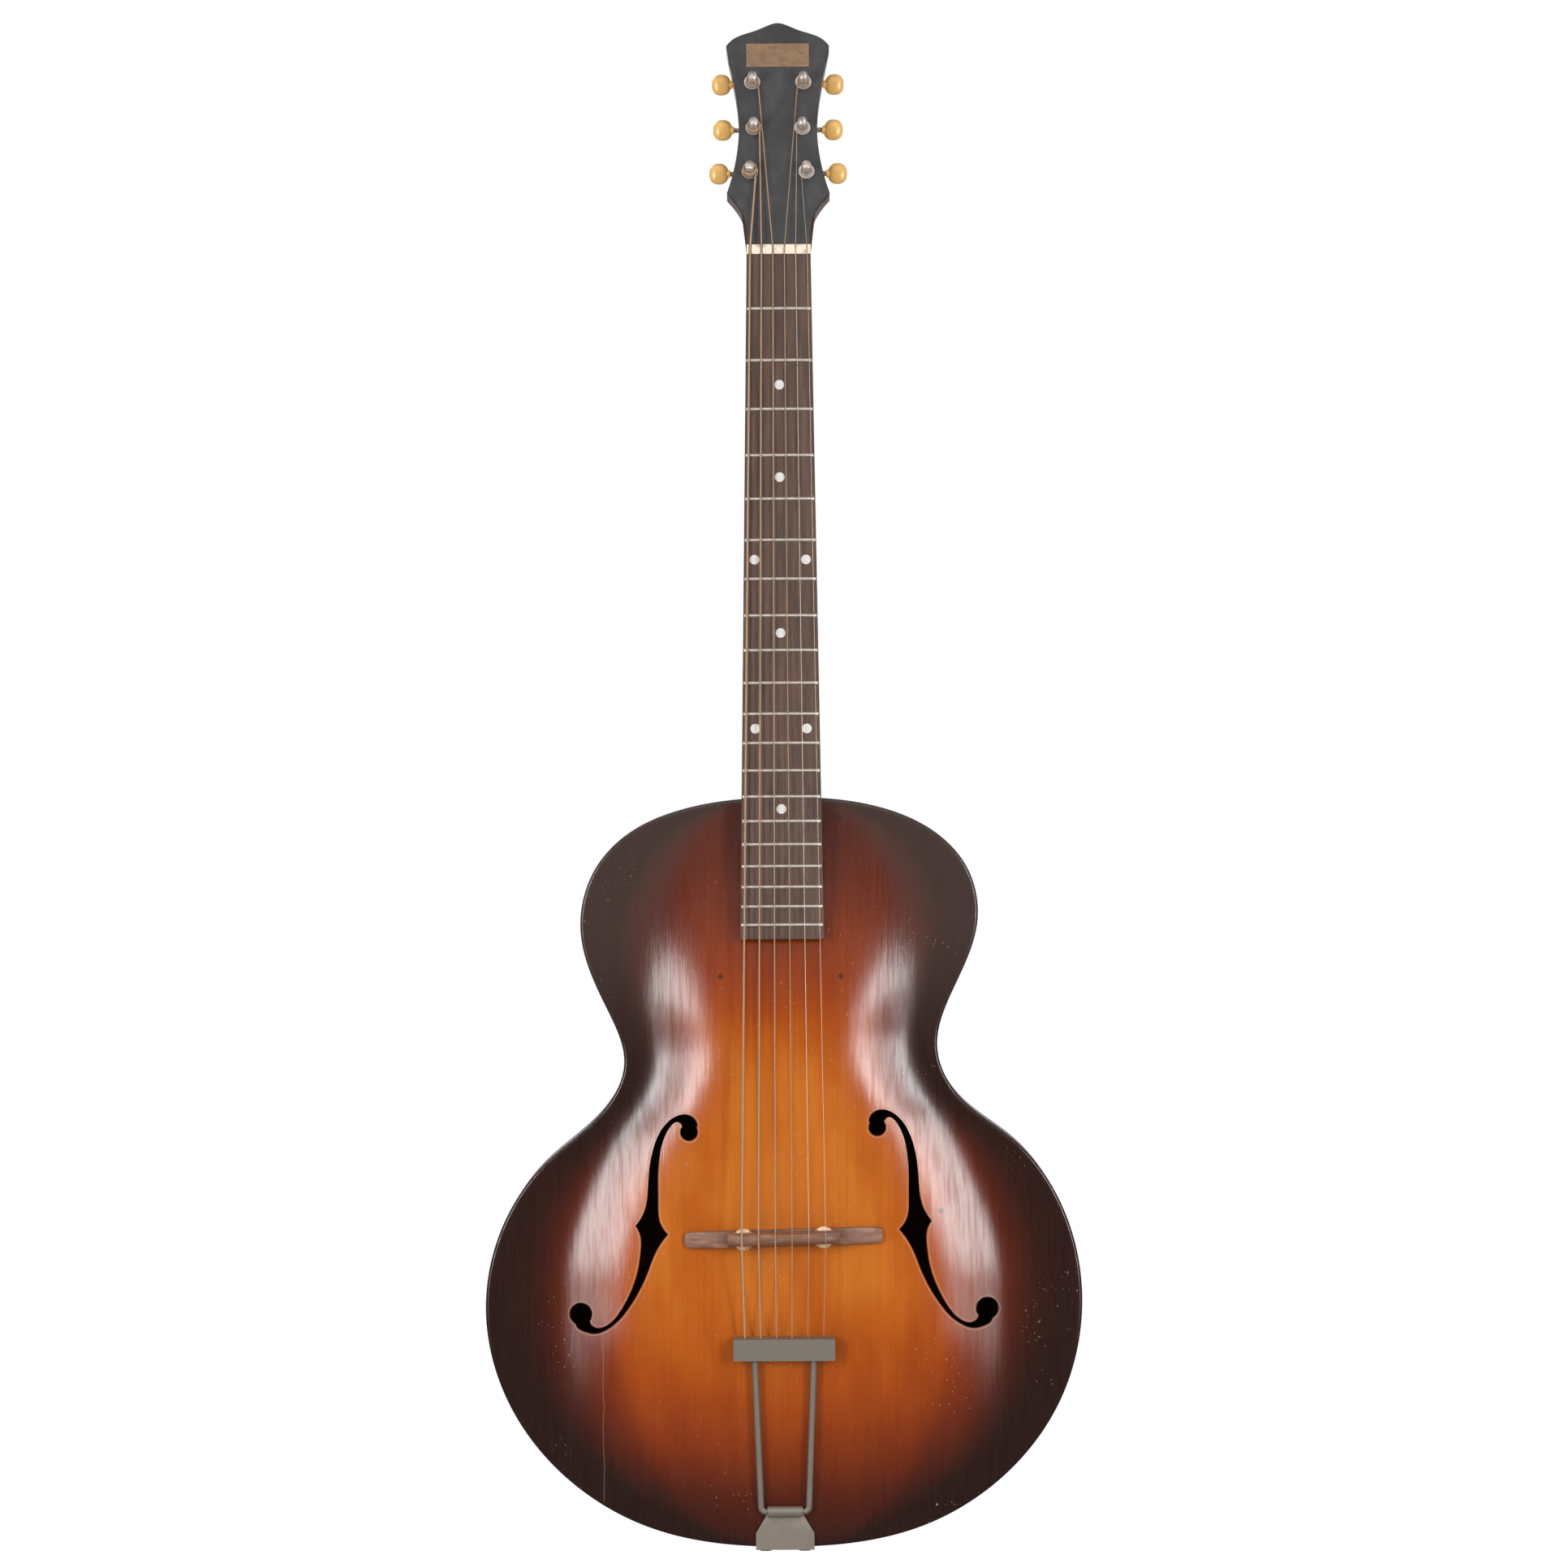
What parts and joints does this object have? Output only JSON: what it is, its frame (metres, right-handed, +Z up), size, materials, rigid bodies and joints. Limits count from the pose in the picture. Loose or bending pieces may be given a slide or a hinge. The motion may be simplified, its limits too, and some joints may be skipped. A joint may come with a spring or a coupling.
{
  "type": "archtop guitar",
  "caption": "Carved archtop guitar with f-holes, floating height-adjustable bridge, hinged wire tailpiece and geared open-back tuners with cream buttons.",
  "frame": {"origin": "on the centreline at the nut's lower face, on the plane where board and neck are glued; a hanger holds the neck there", "axes": "+Z up along the guitar towards the headstock, +Y from the front to the back, +X towards the treble side"},
  "size_m": [0.382, 0.1329, 0.9851],
  "materials": {
    "top_lacquer": "sunburst lacquer on spruce, gloss",
    "back_lacquer": "dark red-brown lacquer on maple, gloss",
    "neck_lacquer": "dark red-brown lacquer, satin",
    "bare_wood": "bare",
    "head_black": "black lacquer, satin",
    "label": "plain, worn",
    "rosewood": "oiled",
    "pearl": "pearly",
    "bone": "polished bone",
    "cream": "aged cream",
    "nickel": "worn nickel",
    "tail_nickel": "dull nickel",
    "steel": "plain steel",
    "gear_brass": "plain brass",
    "wheel_brass": "pale brass",
    "plain_string": "bright drawn wire",
    "wound_string": "bronze winding"
  },
  "bodies": {
    "guitar": {"top_plate": "top_lacquer", "back_plate": "back_lacquer", "bass_side": "back_lacquer", "treble_side": "back_lacquer", "linings": "bare_wood", "neck_block": "bare_wood", "tail_block": "bare_wood", "tone_bars": "bare_wood", "neck": "neck_lacquer", "neck_bar": "steel", "headstock_veneer": "head_black", "label_plate": "label", "fingerboard": "rosewood", "frets": "nickel", "position_dots": "pearl", "nut": "bone", "bridge_base": "rosewood", "bridge_studs": "steel", "tailpiece_bracket": "tail_nickel", "tailpiece_screws": "tail_nickel", "tuner_plates": "nickel", "tuner_bushings": "nickel", "tuner_screws": "nickel", "string_1": "plain_string", "string_2": "plain_string", "string_3": "wound_string", "string_4": "wound_string", "string_5": "wound_string", "string_6": "wound_string"},
    "saddle": {"bridge_saddle": "rosewood"},
    "bass_wheel": {"thumbwheel_bass": "wheel_brass"},
    "treble_wheel": {"thumbwheel_treble": "wheel_brass"},
    "tailpiece": {"tailpiece_bar": "tail_nickel", "tailpiece_wire": "tail_nickel"},
    "tuner_1_drive": {"tuner_1_button": "cream", "tuner_1_worm": "nickel"},
    "tuner_1_spool": {"tuner_1_post": "nickel", "tuner_1_gear": "gear_brass"},
    "tuner_2_drive": {"tuner_2_button": "cream", "tuner_2_worm": "nickel"},
    "tuner_2_spool": {"tuner_2_post": "nickel", "tuner_2_gear": "gear_brass"},
    "tuner_3_drive": {"tuner_3_button": "cream", "tuner_3_worm": "nickel"},
    "tuner_3_spool": {"tuner_3_post": "nickel", "tuner_3_gear": "gear_brass"},
    "tuner_4_drive": {"tuner_4_button": "cream", "tuner_4_worm": "nickel"},
    "tuner_4_spool": {"tuner_4_post": "nickel", "tuner_4_gear": "gear_brass"},
    "tuner_5_drive": {"tuner_5_button": "cream", "tuner_5_worm": "nickel"},
    "tuner_5_spool": {"tuner_5_post": "nickel", "tuner_5_gear": "gear_brass"},
    "tuner_6_drive": {"tuner_6_button": "cream", "tuner_6_worm": "nickel"},
    "tuner_6_spool": {"tuner_6_post": "nickel", "tuner_6_gear": "gear_brass"}
  },
  "joints": [
    {"name": "tuner_1_turn", "type": "hinge", "parent": "guitar", "child": "tuner_1_drive", "pos_m": [0.0182, 0.0366, 0.05436], "axis": [1, 0, 0], "continuous": true},
    {"name": "tuner_1_wind", "type": "hinge", "parent": "guitar", "child": "tuner_1_spool", "pos_m": [0.0182, 0.02983, 0.0491], "axis": [0, -0.9367, 0.3502], "continuous": true},
    {"name": "tuner_2_turn", "type": "hinge", "parent": "guitar", "child": "tuner_2_drive", "pos_m": [0.0157, 0.04743, 0.08331], "axis": [1, 0, 0], "continuous": true},
    {"name": "tuner_2_wind", "type": "hinge", "parent": "guitar", "child": "tuner_2_spool", "pos_m": [0.0157, 0.04065, 0.07804], "axis": [0, -0.9367, 0.3502], "continuous": true},
    {"name": "tuner_3_turn", "type": "hinge", "parent": "guitar", "child": "tuner_3_drive", "pos_m": [0.0165, 0.0587, 0.11347], "axis": [1, 0, 0], "continuous": true},
    {"name": "tuner_3_wind", "type": "hinge", "parent": "guitar", "child": "tuner_3_spool", "pos_m": [0.0165, 0.05193, 0.1082], "axis": [0, -0.9367, 0.3502], "continuous": true},
    {"name": "tuner_4_turn", "type": "hinge", "parent": "guitar", "child": "tuner_4_drive", "pos_m": [-0.0165, 0.0587, 0.11347], "axis": [-1, 0, 0], "continuous": true},
    {"name": "tuner_4_wind", "type": "hinge", "parent": "guitar", "child": "tuner_4_spool", "pos_m": [-0.0165, 0.05193, 0.1082], "axis": [0, -0.9367, 0.3502], "continuous": true},
    {"name": "tuner_5_turn", "type": "hinge", "parent": "guitar", "child": "tuner_5_drive", "pos_m": [-0.0157, 0.04743, 0.08331], "axis": [-1, 0, 0], "continuous": true},
    {"name": "tuner_5_wind", "type": "hinge", "parent": "guitar", "child": "tuner_5_spool", "pos_m": [-0.0157, 0.04065, 0.07804], "axis": [0, -0.9367, 0.3502], "continuous": true},
    {"name": "tuner_6_turn", "type": "hinge", "parent": "guitar", "child": "tuner_6_drive", "pos_m": [-0.0182, 0.0366, 0.05436], "axis": [-1, 0, 0], "continuous": true},
    {"name": "tuner_6_wind", "type": "hinge", "parent": "guitar", "child": "tuner_6_spool", "pos_m": [-0.0182, 0.02983, 0.0491], "axis": [0, -0.9367, 0.3502], "continuous": true},
    {"name": "saddle_height", "type": "slide", "parent": "guitar", "child": "saddle", "axis": [0, -1, 0], "range_m": [-0.0017, 0]},
    {"name": "bass_wheel_turn", "type": "hinge", "parent": "saddle", "child": "bass_wheel", "pos_m": [-0.02549, -0.03878, -0.62955], "axis": [0, -1, 0], "range_deg": [-613, 1]},
    {"name": "treble_wheel_turn", "type": "hinge", "parent": "saddle", "child": "treble_wheel", "pos_m": [0.02549, -0.03878, -0.6284], "axis": [0, -1, 0], "range_deg": [-613, 1]},
    {"name": "tailpiece_swing", "type": "hinge", "parent": "guitar", "child": "tailpiece", "pos_m": [0, -0.01732, -0.80497], "axis": [1, 0, 0], "range_deg": [0, 3]}
  ],
  "couplings": [
    {"joint": "tuner_1_wind", "follows": "tuner_1_turn", "ratio": 0.071429},
    {"joint": "tuner_2_wind", "follows": "tuner_2_turn", "ratio": 0.071429},
    {"joint": "tuner_3_wind", "follows": "tuner_3_turn", "ratio": 0.071429},
    {"joint": "tuner_4_wind", "follows": "tuner_4_turn", "ratio": -0.071429},
    {"joint": "tuner_5_wind", "follows": "tuner_5_turn", "ratio": -0.071429},
    {"joint": "tuner_6_wind", "follows": "tuner_6_turn", "ratio": -0.071429},
    {"joint": "bass_wheel_turn", "follows": "saddle_height", "rad_per_m": 6283.2},
    {"joint": "treble_wheel_turn", "follows": "saddle_height", "rad_per_m": 6283.2}
  ]
}
